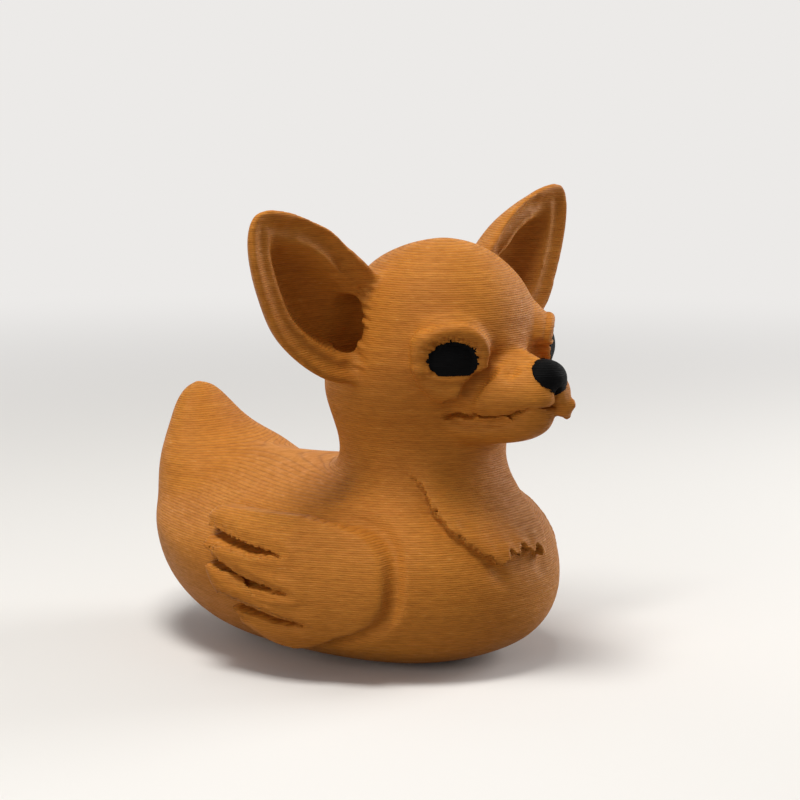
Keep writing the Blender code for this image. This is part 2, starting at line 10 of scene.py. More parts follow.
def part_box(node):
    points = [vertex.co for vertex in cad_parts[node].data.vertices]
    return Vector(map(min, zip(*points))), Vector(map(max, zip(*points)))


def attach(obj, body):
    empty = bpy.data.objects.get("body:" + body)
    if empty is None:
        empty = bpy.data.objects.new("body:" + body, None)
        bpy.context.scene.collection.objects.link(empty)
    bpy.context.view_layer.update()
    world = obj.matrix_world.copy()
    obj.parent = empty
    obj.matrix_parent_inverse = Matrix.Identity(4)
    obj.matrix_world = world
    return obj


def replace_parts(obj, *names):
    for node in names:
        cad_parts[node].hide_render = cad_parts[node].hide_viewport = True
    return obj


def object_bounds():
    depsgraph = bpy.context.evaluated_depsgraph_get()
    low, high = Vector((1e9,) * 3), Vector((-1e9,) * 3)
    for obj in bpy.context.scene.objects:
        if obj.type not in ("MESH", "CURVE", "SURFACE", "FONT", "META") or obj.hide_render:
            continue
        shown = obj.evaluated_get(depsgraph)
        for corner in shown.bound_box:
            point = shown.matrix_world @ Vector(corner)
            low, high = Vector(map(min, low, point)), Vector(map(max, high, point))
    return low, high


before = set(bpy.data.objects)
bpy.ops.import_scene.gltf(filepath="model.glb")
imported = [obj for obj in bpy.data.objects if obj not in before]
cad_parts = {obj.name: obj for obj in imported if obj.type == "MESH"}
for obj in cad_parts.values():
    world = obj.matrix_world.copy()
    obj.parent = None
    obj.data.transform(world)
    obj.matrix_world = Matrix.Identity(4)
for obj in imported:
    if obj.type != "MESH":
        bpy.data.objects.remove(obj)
cad_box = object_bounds()

# Printed duck
# The whole figure is one print in tan filament, laid down in level layers from the flat base up.
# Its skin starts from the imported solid, refined until the folds and edges of the print fit on it.
# Sizes and places are in millimetres: ahead, to the left and up from the middle of the base.

FIGURE_HEIGHT = 63.1
MM = (cad_box[1][2] - cad_box[0][2]) / FIGURE_HEIGHT
LAYER = 0.28
SKIN_GRAIN = 0.25
PLUG_GROWTH = 1.14
PLUG_SINK = 0.35
MELT_ROUNDS = 18
CREASE_SHARE = 0.12
CREASE_REACH = 10
CREASE_TURN = 0.04
LIP_BLOBS = (((34.9, 2.2, 36.3), 1.25), ((35.6, 2.9, 36.9), 0.75), ((34.9, 2.9, 35.3), 0.6))
BLOB_FINENESS = 3


def merged(bm, node, grow=1.0, sink=0.0):
    """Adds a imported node's mesh, grown about its middle and moved towards the head's axis."""
    piece = bmesh.new()
    piece.from_mesh(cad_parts[node].data)
    bmesh.ops.remove_doubles(piece, verts=piece.verts, dist=0.001 * MM)
    low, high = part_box(node)
    middle = (Vector(low) + Vector(high)) / 2
    inward = Vector((-middle.x / 2, -middle.y, 0)).normalized() * sink * MM if sink else Vector()
    for vert in piece.verts:
        vert.co = middle + (vert.co - middle) * grow + inward
    mesh = bpy.data.meshes.new(node)
    piece.to_mesh(mesh)
    piece.free()
    bm.from_mesh(mesh)


def shown(name, bm):
    """A new object of the bmesh, with its place in its mesh."""
    mesh = bpy.data.meshes.new(name)
    bm.to_mesh(mesh)
    bm.free()
    mesh.shade_smooth()
    obj = bpy.data.objects.new(name, mesh)
    bpy.context.scene.collection.objects.link(obj)
    return obj


def applied(obj):
    """The object with its modifiers made part of its mesh."""
    graph = bpy.context.evaluated_depsgraph_get()
    mesh = bpy.data.meshes.new_from_object(obj.evaluated_get(graph))
    obj.modifiers.clear()
    obj.data = mesh
    mesh.shade_smooth()
    return obj


def skin_points(obj):
    """The points of a skin in millimetres, and its normals."""
    places = np.empty(len(obj.data.vertices) * 3)
    normals = np.empty(len(places))
    obj.data.vertices.foreach_get("co", places)
    obj.data.vertex_normals.foreach_get("vector", normals)
    return places.reshape(-1, 3) / MM, normals.reshape(-1, 3)


def move_points(obj, places):
    """Puts the points of a skin at places in millimetres."""
    obj.data.vertices.foreach_set("co", (places * MM).ravel())
    obj.data.update()


def edge_pairs(obj):
    """The two points of each edge, by number."""
    pairs = np.empty(len(obj.data.edges) * 2, dtype=int)
    obj.data.edges.foreach_get("vertices", pairs)
    return pairs.reshape(-1, 2)


def mean_around(values, pairs):
    """Each point's mean over the points that it shares an edge with."""
    total = np.zeros_like(values)
    for column in range(3):
        total[:, column] += np.bincount(pairs[:, 0], values[pairs[:, 1], column], len(values))
        total[:, column] += np.bincount(pairs[:, 1], values[pairs[:, 0], column], len(values))
    return total / np.bincount(pairs.ravel(), minlength=len(values))[:, None]


def melt(obj, rounds):
    """Smooths the skin where it is nearly flat, and hardly at all at its edges and creases."""
    places, normals = skin_points(obj)
    pairs = edge_pairs(obj)
    around = normals
    for _ in range(CREASE_REACH):
        around = mean_around(around, pairs)
    turn = 1 - (normals * around).sum(1) / np.linalg.norm(around, axis=1)
    share = CREASE_SHARE + (0.5 - CREASE_SHARE) * np.clip(1 - turn / CREASE_TURN, 0, 1)
    for _ in range(rounds):
        places = places + share[:, None] * (mean_around(places, pairs) - places)
    move_points(obj, places)


bm = bmesh.new()
merged(bm, "duck_body")
for plug in ("eye_right", "eye_left", "nose_tip"):
    merged(bm, plug, PLUG_GROWTH, PLUG_SINK)
for middle, radius in LIP_BLOBS:
    place = Matrix.Translation(Vector(middle) * MM)
    bmesh.ops.create_icosphere(bm, subdivisions=BLOB_FINENESS, radius=radius * MM, matrix=place)
duck = shown("duck", bm)
rounder = duck.modifiers.new("rounder", "SUBSURF")
rounder.levels = rounder.render_levels = 1
fuser = duck.modifiers.new("fuser", "REMESH")
fuser.mode = "VOXEL"
fuser.voxel_size = SKIN_GRAIN * MM
applied(duck)
melt(duck, MELT_ROUNDS)
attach(duck, "root")
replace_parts(duck, "duck_body")

# Wings
# Each wing is a raised plate on the flank. Three slots part its four feathers, and their edges are
# ragged, because each printed line ends at a place of its own. Outlines are given ahead and up.

WING_OUTLINE = (
    (-6.3, 19.6), (-5.6, 20.8), (-2.3, 21.1), (2.6, 21.3), (7.0, 21.4), (11.0, 21.4), (15.3, 21.2),
    (18.2, 20.2), (20.6, 18.1), (21.7, 15.5), (22.0, 12.3), (21.2, 9.3), (18.5, 7.0), (14.0, 5.3),
    (10.0, 4.7), (6.0, 5.3), (3.2, 7.0), (1.6, 8.0), (0.1, 9.7), (-2.2, 11.9), (-3.3, 13.4),
    (-4.3, 14.9), (-5.3, 17.2), (-5.4, 18.0),
)
FEATHER_SLOTS = (
    (
        (-7.5, 19.0), (-4.4, 18.9), (-0.8, 18.3), (3.4, 17.7),
        (8.4, 17.0), (3.2, 16.8), (-1.0, 17.3), (-7.5, 18.2),
    ),
    (
        (-7.5, 16.8), (-4.8, 16.6), (-1.6, 15.1), (3.0, 13.6),
        (10.0, 12.1), (3.6, 12.5), (-1.4, 13.9), (-7.5, 15.8),
    ),
    (
        (-2.6, 11.1), (-0.6, 10.9), (3.2, 9.8), (7.6, 8.9),
        (11.6, 8.0), (7.4, 8.0), (3.0, 8.8), (-2.6, 10.1),
    ),
)
PACKED_SLOTS = (
    ((-7.5, 19.5), (4.8, 18.0), (9.4, 17.1), (4.4, 16.4), (-7.5, 17.7)),
    ((-7.5, 17.3), (-1.0, 15.5), (5.8, 13.4), (11.4, 12.0), (6.1, 11.6), (-3.2, 14.7), (-7.5, 15.3)),
    ((-1.5, 11.0), (8.2, 9.2), (12.8, 7.8), (8.5, 7.4), (-1.5, 9.3)),
)
PACKED_SLOT_WALL = 0.45
FEATHER_MARGIN = 1.3
SLOT_DEPTH = 2.5
SLOT_WALL = 0.25
SLOT_RAGGED = 0.22
SLOT_ROOM = 0.12
SLOT_PAST_EDGE = 1.0
RAGGED_PITCH = 0.5
FEATHER_SWELL = 0.3
FEATHER_REACH = 1.0
WING_LIFT = 0.8
WING_STEP = 0.35
WING_DROP = 0.65
WING_REACH = 0.35
WING_GROOVE = 1.05
WING_GROOVE_REACH = 0.6
WING_FRONT_FROM = 9.0
WING_FRONT_TO = 15.0
WING_OUT = 8.0
FLANK_TOP = 23.4
LEFT_WING_FROM = 5.0
LEFT_WING_TO = 14.0
LEFT_WING_SINK = 1.7
CURVE_STEPS = 5
LINE_SEED = 12.9898
LINE_SCATTER = 43758.5453


def inside(across, up, outline):
    """How far each place lies inside a flat outline, and below zero how far outside."""
    nearest = np.full(len(across), np.inf)
    within = np.zeros(len(across), dtype=bool)
    for (ax, ay), (bx, by) in zip(outline, outline[1:] + outline[:1]):
        dx, dy = bx - ax, by - ay
        share = np.clip(((across - ax) * dx + (up - ay) * dy) / (dx * dx + dy * dy), 0, 1)
        nearest = np.minimum(nearest, np.hypot(across - ax - share * dx, up - ay - share * dy))
        if dy:
            within ^= ((ay > up) != (by > up)) & (across < dx * (up - ay) / dy + ax)
    return np.where(within, nearest, -nearest)


def between(a, b, c, d, share):
    """A place between b and c, on the smooth curve through four places."""
    square = (2 * a - 5 * b + 4 * c - d) * share**2
    cube = (3 * b - a - 3 * c + d) * share**3
    return 0.5 * (2 * b + (c - a) * share + square + cube)


def rounded(outline):
    """A closed outline of points as a smooth curve through them."""
    curve = []
    for i in range(len(outline)):
        corners = [np.array(outline[(i + k) % len(outline)]) for k in (-1, 0, 1, 2)]
        for share in np.arange(CURVE_STEPS) / CURVE_STEPS:
            curve.append(tuple(between(*corners, share)))
    return tuple(curve)


def line_end(up, salt):
    """A number from -0.5 to 0.5 for each printed line, the same each time."""
    scattered = np.abs(np.sin(np.floor(up / LAYER) * LINE_SEED + salt) * LINE_SCATTER)
    return np.modf(scattered)[0] - 0.5


def edge(depth, step, groove, reach):
    """The rise beside an outline: a step up at its inner side and a groove at its outer side."""
    lip = step * np.exp(-np.maximum(depth, 0) / (2 * reach))
    ditch = groove * np.exp(np.minimum(depth, 0) / reach)
    return np.where(depth > 0, lip, -ditch)


def bowed(across, up):
    """The terms of a gently bowed surface over a flat place."""
    return np.stack([np.ones(len(across)), across, up, across**2, across * up], axis=1)


places, normals = skin_points(duck)
wing_curve = rounded(WING_OUTLINE)
for side in (-1, 1):
    flank = np.flatnonzero((side * places[:, 1] > WING_OUT) & (places[:, 2] < FLANK_TOP))
    ahead, up = places[flank, 0], places[flank, 2]
    within = inside(ahead, up, wing_curve)
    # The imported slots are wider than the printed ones: the feathers close over each of them first.
    packed = np.array([inside(ahead, up, slot) for slot in PACKED_SLOTS])
    closed = np.zeros(len(flank), dtype=bool)
    for depth in packed:
        known = (packed.max(0) < -PACKED_SLOT_WALL) & (depth > -FEATHER_MARGIN)
        known &= within > PACKED_SLOT_WALL
        terms = np.linalg.lstsq(bowed(ahead[known], up[known]), places[flank[known], 1], rcond=None)[0]
        gap = (depth >= -PACKED_SLOT_WALL) & (within > 0)
        places[flank[gap], 1] = bowed(ahead[gap], up[gap]) @ terms
        closed |= gap
    # The wing's rear and top edges are crisp, and its front runs into a soft groove.
    front = np.clip((ahead - WING_FRONT_FROM) / (WING_FRONT_TO - WING_FRONT_FROM), 0, 1)
    groove = WING_GROOVE * np.exp(-((within / WING_GROOVE_REACH + 0.5) ** 2))
    lift = edge(within, WING_STEP, WING_DROP, WING_REACH) + WING_LIFT * np.clip(within / WING_REACH, 0, 1)
    rise = (1 - front) * lift - front * groove
    nearest = np.full(len(flank), np.inf)
    slotted = np.zeros(len(flank))
    for salt, slot in enumerate(FEATHER_SLOTS):
        teeth = SLOT_RAGGED * line_end(ahead * LAYER / RAGGED_PITCH, salt)
        depth = inside(ahead, up + teeth, slot) + SLOT_ROOM
        slotted = np.maximum(slotted, np.clip(depth / SLOT_WALL, 0, 1) * (within > -SLOT_PAST_EDGE))
        nearest = np.minimum(nearest, np.abs(depth))
    # Each feather swells a little beside its slots.
    swell = np.exp(-((nearest - FEATHER_REACH) / FEATHER_REACH) ** 2)
    swell *= np.clip(within / FEATHER_REACH, 0, 1)
    rise = np.where(slotted > 0, -SLOT_DEPTH * slotted, rise + FEATHER_SWELL * swell)
    # The front of the left wing lies flush in the breast.
    if side > 0:
        sunk = np.clip((ahead - LEFT_WING_FROM) / (LEFT_WING_TO - LEFT_WING_FROM), 0, 1)
        rise = rise * (1 - sunk) - LEFT_WING_SINK * sunk * np.clip(within / WING_REACH, 0, 1)
    ways = np.where(closed[:, None], np.array((0.0, side, 0.0)), normals[flank])
    places[flank] += ways * rise[:, None]
move_points(duck, places)

# Chest fur
# A shallow raised bib on the breast that ends in points. Its lower edge is crisp and shaded by a
# groove, and its upper end fades into the neck. The outline is given to the left and up.

BIB_OUTLINE = (
    (-8.4, 29.0), (-8.9, 24.4), (-9.0, 20.8), (-8.2, 18.9), (-6.4, 16.9), (-4.0, 15.2), (-2.8, 16.8),
    (-1.5, 16.1), (0.0, 17.3), (1.5, 16.1), (2.8, 16.8), (4.0, 15.2), (6.4, 16.9), (7.8, 18.9),
    (7.6, 20.8), (6.4, 24.4), (5.6, 29.0),
)
BIB_LIFT = 0.5
BIB_STEP = 0.6
BIB_GROOVE = 0.65
BIB_REACH = 0.8
BIB_FROM_STATION = 14.0
BIB_FADE_FROM = 23.0
BIB_FADE_TO = 28.5
BIB_RAGGED = 0.4
BIB_LEFT_FROM = 4.0
BIB_LEFT_SHARE = 0.2

places, normals = skin_points(duck)
bib_curve = rounded(BIB_OUTLINE)
front = np.flatnonzero((places[:, 0] > BIB_FROM_STATION) & (places[:, 2] < BIB_FADE_TO))
left, up = places[front, 1], places[front, 2]
depth = inside(left + BIB_RAGGED * line_end(up, 7), up - BIB_LIFT, bib_curve)
rise = edge(depth, BIB_STEP, BIB_GROOVE, BIB_REACH)
rise *= np.clip((BIB_FADE_TO - up) / (BIB_FADE_TO - BIB_FADE_FROM), 0, 1)
# The fur's left edge is fainter than its right one.
rise *= np.clip(2 - left / BIB_LEFT_FROM, BIB_LEFT_SHARE, 1)
places[front] += normals[front] * rise[:, None]
move_points(duck, places)

# Face
# Folds of the head's skin: rolled upper lids over a crease, bags and cheek creases, the mouth with
# its sagging upper lip, and the split below the nose. Lines are given for the right side and are
# mirrored. Those of the eyes are given beside the eye's middle, towards the nose and up.

MUZZLE_HEIGHT = 38.0
MOUTH_LINE = (
    (23.2, -8.0, -3.2), (24.2, -7.7, -3.2), (25.4, -7.2, -3.5), (27.2, -6.5, -3.8), (28.9, -5.7, -3.8),
    (31.1, -4.7, -3.2), (33.3, -3.8, -2.2), (34.6, -2.4, -1.5), (35.2, 0.0, -1.3),
)
LIP_SPLIT = ((35.3, 0.0, -1.2), (36.0, 0.0, 1.0))
EYE_AZIMUTH = 42.0
EYE_STATION = 15.0
EYE_HEIGHT = 43.3
EYE_OUT = 15.0
FOLD_OUT = 13.6
EYE_OUTLINE = (
    (-3.4, -0.2), (-3.0, 0.7), (-2.25, 1.6), (-1.1, 2.2), (0.2, 2.35), (1.9, 2.0), (3.0, 1.1),
    (3.35, -0.2), (3.2, -1.3), (2.3, -2.15), (-1.8, -2.2), (-2.9, -1.2),
)
UPPER_LID = (
    (-4.9, -0.9), (-4.5, 1.2), (-3.0, 2.9), (-1.0, 3.7), (1.4, 3.7), (3.4, 2.8), (4.6, 1.0),
    (4.9, -1.2),
)
LID_CREASE = ((-3.8, 5.4), (-0.8, 6.4), (2.6, 6.2), (5.4, 4.7), (6.9, 2.0), (7.0, -0.6))
BAG = ((-4.4, -2.6), (-3.0, -4.1), (-1.2, -4.9), (0.2, -4.8))
BAG_SIDE = ((-6.2, 1.0), (-6.3, -1.6), (-5.6, -4.0), (-4.2, -5.8))
CHEEK_CREASE = ((6.2, -0.4), (4.8, -1.4), (3.5, -2.6), (2.3, -4.0), (1.3, -5.8), (0.6, -7.4))
MUZZLE_SIDE = ((6.6, -2.2), (4.9, -4.2), (3.6, -6.2))
LEFT_LID_SHARE = 0.25
# Each fold's line, how far out it lies, how wide it is, how deep, and the left side's share of it.
FOLDS = (
    (UPPER_LID, EYE_OUT, 2.1, -1.3, LEFT_LID_SHARE),
    (LID_CREASE, EYE_OUT, 2.0, 0.9, 1.0),
    (BAG, EYE_OUT, 2.0, -0.5, 1.0),
    (BAG_SIDE, FOLD_OUT, 1.6, 0.4, 1.0),
    (MUZZLE_SIDE, FOLD_OUT, 2.2, -0.6, 1.0),
    (CHEEK_CREASE, FOLD_OUT, 1.8, 1.1, 1.0),
)
BRIDGE_LINE = ((26.5, -1.2, 43.9), (28.5, -0.9, 43.4), (30.3, -0.5, 42.9))
BRIDGE_SPREAD = 2.6
BRIDGE_RISE = 0.35
LIP_FROM = 3
LIP_SPREAD = 0.9
LIP_RISE = 0.4
LIP_ABOVE = 0.9
LIP_RAGGED = 0.3
SPLIT_SPREAD = 0.5
SPLIT_CUT = 0.3
LOWER_LID = ((-3.3, -1.5), (-2.1, -2.6), (0.0, -2.8), (2.4, -2.6), (3.7, -1.7))
LOWER_LID_SPREAD = 0.7
LOWER_LID_RISE = 0.3
RAGGED_WAY = (1.0, 0.0, 0.6)
LINE_POINTS = 20


def laid(tree, line):
    """A smooth line through the points, brought onto the skin."""
    ends = [line[0]] + list(line) + [line[-1]]
    points = []
    for k in range(LINE_POINTS + 1):
        t = k / LINE_POINTS * (len(line) - 1)
        i = min(int(t), len(line) - 2)
        point = between(*(Vector(p) for p in ends[i:i + 4]), t - i)
        points.append(np.array(tree.find_nearest(point * MM)[0]) / MM)
    return points


def away_from(places, line):
    """How far each place lies from a line."""
    nearest = np.full(len(places), np.inf)
    for a, b in zip(line, line[1:]):
        length = max((b - a) @ (b - a), 1e-9)
        share = np.clip((places - a) @ (b - a) / length, 0, 1)
        nearest = np.minimum(nearest, np.linalg.norm(places - a - share[:, None] * (b - a), axis=1))
    return nearest


def press(obj, line, spread, depth, lift=0.0, ragged=0.0, salt=0, left=1.0):
    """Pushes the skin in by a depth along a line of the right side, and its mirror image by a share."""
    tree = BVHTree.FromObject(obj, bpy.context.evaluated_depsgraph_get())
    line = np.array(laid(tree, line)) + (0.0, 0.0, lift)
    places, normals = skin_points(obj)
    for side in (1, -1):
        path = line * (1, side, 1)
        low, high = path.min(0) - spread - ragged, path.max(0) + spread + ragged
        near = np.flatnonzero(((places > low) & (places < high)).all(1))
        spots = places[near]
        jitter = ragged * line_end(spots[:, 2] + spots[:, 0] / 2, salt)
        spots = spots + np.outer(jitter, RAGGED_WAY)
        fade = np.clip(1 - (away_from(spots, path) / spread) ** 2, 0, 1) ** 2
        places[near] -= normals[near] * (fade * depth * (left if side < 0 else 1))[:, None]
    move_points(obj, places)


def beside_eye(inward, up, out=EYE_OUT):
    """A point of the right side beside the eye's middle, towards the nose and up."""
    return (
        EYE_STATION + out * math.cos(eye_turn) + inward * math.sin(eye_turn),
        inward * math.cos(eye_turn) - out * math.sin(eye_turn),
        EYE_HEIGHT + up,
    )


eye_turn = math.radians(EYE_AZIMUTH)
mouth = [(x, y, MUZZLE_HEIGHT + z) for x, y, z in MOUTH_LINE]
split = [(x, y, MUZZLE_HEIGHT + z) for x, y, z in LIP_SPLIT]
for line, out, spread, depth, left in FOLDS:
    press(duck, [beside_eye(*p, out) for p in line], spread, depth, left=left)
press(duck, BRIDGE_LINE, BRIDGE_SPREAD, -BRIDGE_RISE)
press(duck, mouth[LIP_FROM:], LIP_SPREAD, -LIP_RISE, lift=LIP_ABOVE, ragged=LIP_RAGGED, salt=3)
press(duck, split, SPLIT_SPREAD, SPLIT_CUT)
press(duck, [beside_eye(*p) for p in LOWER_LID], LOWER_LID_SPREAD, -LOWER_LID_RISE)

# The mouth is a thin slit that runs in towards the throat.
SLIT_HALF = 0.42
SLIT_SLOPE = 0.25
SLIT_CUT = 2.0
SLIT_RAGGED = 0.12
THROAT = (22.0, 0.0)
MUZZLE_BOX = (9.0, 7.0, 4.0)
tree = BVHTree.FromObject(duck, bpy.context.evaluated_depsgraph_get())
slit = np.array(laid(tree, mouth))
places, normals = skin_points(duck)
for side in (1, -1):
    path = slit * (1, side, 1)
    near = np.flatnonzero((np.abs(places - path.mean(0)) < MUZZLE_BOX).all(1))
    spots = places[near]
    along = spots[:, 0] - side * spots[:, 1]
    away = away_from(spots, path) + SLIT_RAGGED * line_end(along * LAYER / RAGGED_PITCH, 3)
    inward = THROAT - spots[:, :2]
    inward /= np.linalg.norm(inward, axis=1)[:, None]
    cut = SLIT_CUT * np.clip((SLIT_HALF - away) / SLIT_SLOPE, 0, 1)
    places[near, :2] += inward * cut[:, None]
move_points(duck, places)

LASH_HIGH = 1.3
LASH_RISE = 1.0


def eye_plane(spots, side):
    """Places beside an eye's middle: towards the nose, up, and out of the face."""
    ahead, out = spots[:, 0] - EYE_STATION, side * spots[:, 1]
    inward = ahead * math.sin(eye_turn) - out * math.cos(eye_turn)
    return inward, spots[:, 2] - EYE_HEIGHT, ahead * math.cos(eye_turn) + out * math.sin(eye_turn)


# The upper lid's lower edge is ragged: each line of it hangs out by its own amount.
places, normals = skin_points(duck)
for side in (-1, 1):
    inward, up, out = eye_plane(places, side)
    above = inside(inward, up, EYE_OUTLINE)
    near = (out > EYE_OUT / 2) & (above < 0) & (above > -LASH_HIGH) & (up > 0)
    share = 1 + above[near] / LASH_HIGH
    jitter = line_end(places[near, 2] + inward[near] / 3, 11)
    places[near] += normals[near] * (LASH_RISE * share * jitter)[:, None]
move_points(duck, places)

# Ears
# Each ear is a cupped shell with a rolled rim. Tufts of fur stand at its foot, its bowl drops below
# its upper edge, and a hollow runs in behind the tufts. Places are given for the right ear.

TUFT_LINE = (
    (13.6, -12.4, 51.5), (12.9, -13.0, 49.0), (12.9, -13.4, 46.0), (13.3, -13.6, 43.2),
    (13.8, -13.6, 41.8),
)
TUFT_PITCH = 0.6
TUFT_RISE = 0.6
TUFT_REACH = 1.5
TUFT_LEAN = 0.35
TUFT_BOX = (5, 4, 8)

places, normals = skin_points(duck)
tree = BVHTree.FromObject(duck, bpy.context.evaluated_depsgraph_get())
tufts = np.array(laid(tree, TUFT_LINE))
for side in (1, -1):
    path = tufts * (1, side, 1)
    near = np.flatnonzero((np.abs(places - path.mean(0)) < TUFT_BOX).all(1))
    spots = places[near]
    fade = np.clip(1 - away_from(spots, path) / TUFT_REACH, 0, 1)
    wave = line_end((spots[:, 2] + TUFT_LEAN * spots[:, 0]) * LAYER / TUFT_PITCH, 13)
    places[near] += normals[near] * (fade * TUFT_RISE * wave)[:, None]
move_points(duck, places)

EAR_PLANE = 13.5
EAR_SWEEP = 0.1
EAR_SWEEP_FROM = 15.0
BOWL_LINE = (
    (27.0, 59.8), (24.0, 60.0), (20.9, 58.9), (18.1, 57.0), (16.2, 54.9), (14.8, 52.6), (14.0, 50.4),
)
BOWL_SPREAD = 2.0
BOWL_FALL = 0.5


def on_ear(out, up):
    """A point of the right ear's front."""
    return EAR_PLANE + EAR_SWEEP * (EAR_SWEEP_FROM - out), -out, up


press(duck, [on_ear(*p) for p in BOWL_LINE], BOWL_SPREAD, BOWL_FALL)

HOLLOW_LINE = ((9.6, -11.3, 50.5), (9.4, -10.9, 46.8), (9.7, -11.0, 43.4))
HOLLOW_REACH = 3.1
HOLLOW_CUT = 2.6
HOLLOW_BOX = (4, 4, 8)
places, normals = skin_points(duck)
for side in (1, -1):
    path = np.array(HOLLOW_LINE) * (1, side, 1)
    near = np.flatnonzero((np.abs(places - path.mean(0)) < HOLLOW_BOX).all(1))
    fade = np.clip(1 - (away_from(places[near], path) / HOLLOW_REACH) ** 2, 0, 1) ** 2
    places[near, 1] += side * fade * HOLLOW_CUT
move_points(duck, places)

# Tan filament
# Satin PLA in caramel, extruded in 0.28 mm layers. The eye gets fine level ridges that part into
# terraces on shallow slopes, short level dashes, and a warm glow where the plastic is thin.

TAN = "#CC8432"
TAN_DEEP = "#B97227"
# Painted shade in the grooves between layers, and the colour of the sparse dark dashes.
TAN_GROOVE_SHADE_AND_DASH = "#7C4512"
TAN_FLECK = "#E0A860"
LAYER_DRIFT = 0.3
WANDER_PER_MM = 0.12
DASH_PER_MM = 0.62
DASH_FLATNESS = 5.0
BLOTCH_PER_MM = 0.07
WALL_RELIEF = 0.022
STEP_RELIEF = 0.075
UNEVEN_RELIEF = 0.02
DASH_RELIEF = 0.1
PLA_IOR = 1.46
GLOW_RADII = (1.0, 0.5, 0.2)


def colour(code):
    """The linear colour of an sRGB hex value."""
    parts = [int(code[i:i + 2], 16) / 255 for i in (1, 3, 5)]
    return (*(p / 12.92 if p <= 0.04045 else ((p + 0.055) / 1.055) ** 2.4 for p in parts), 1.0)


def node(tree, kind, inputs=None, **settings):
    """Adds a node, sets its attributes, and fills or links its inputs by name or number."""
    new = tree.nodes.new(kind)
    for key, value in settings.items():
        setattr(new, key, value)
    for key, value in (inputs or {}).items():
        if isinstance(value, bpy.types.NodeSocket):
            tree.links.new(value, new.inputs[key])
        else:
            new.inputs[key].default_value = value
    return new


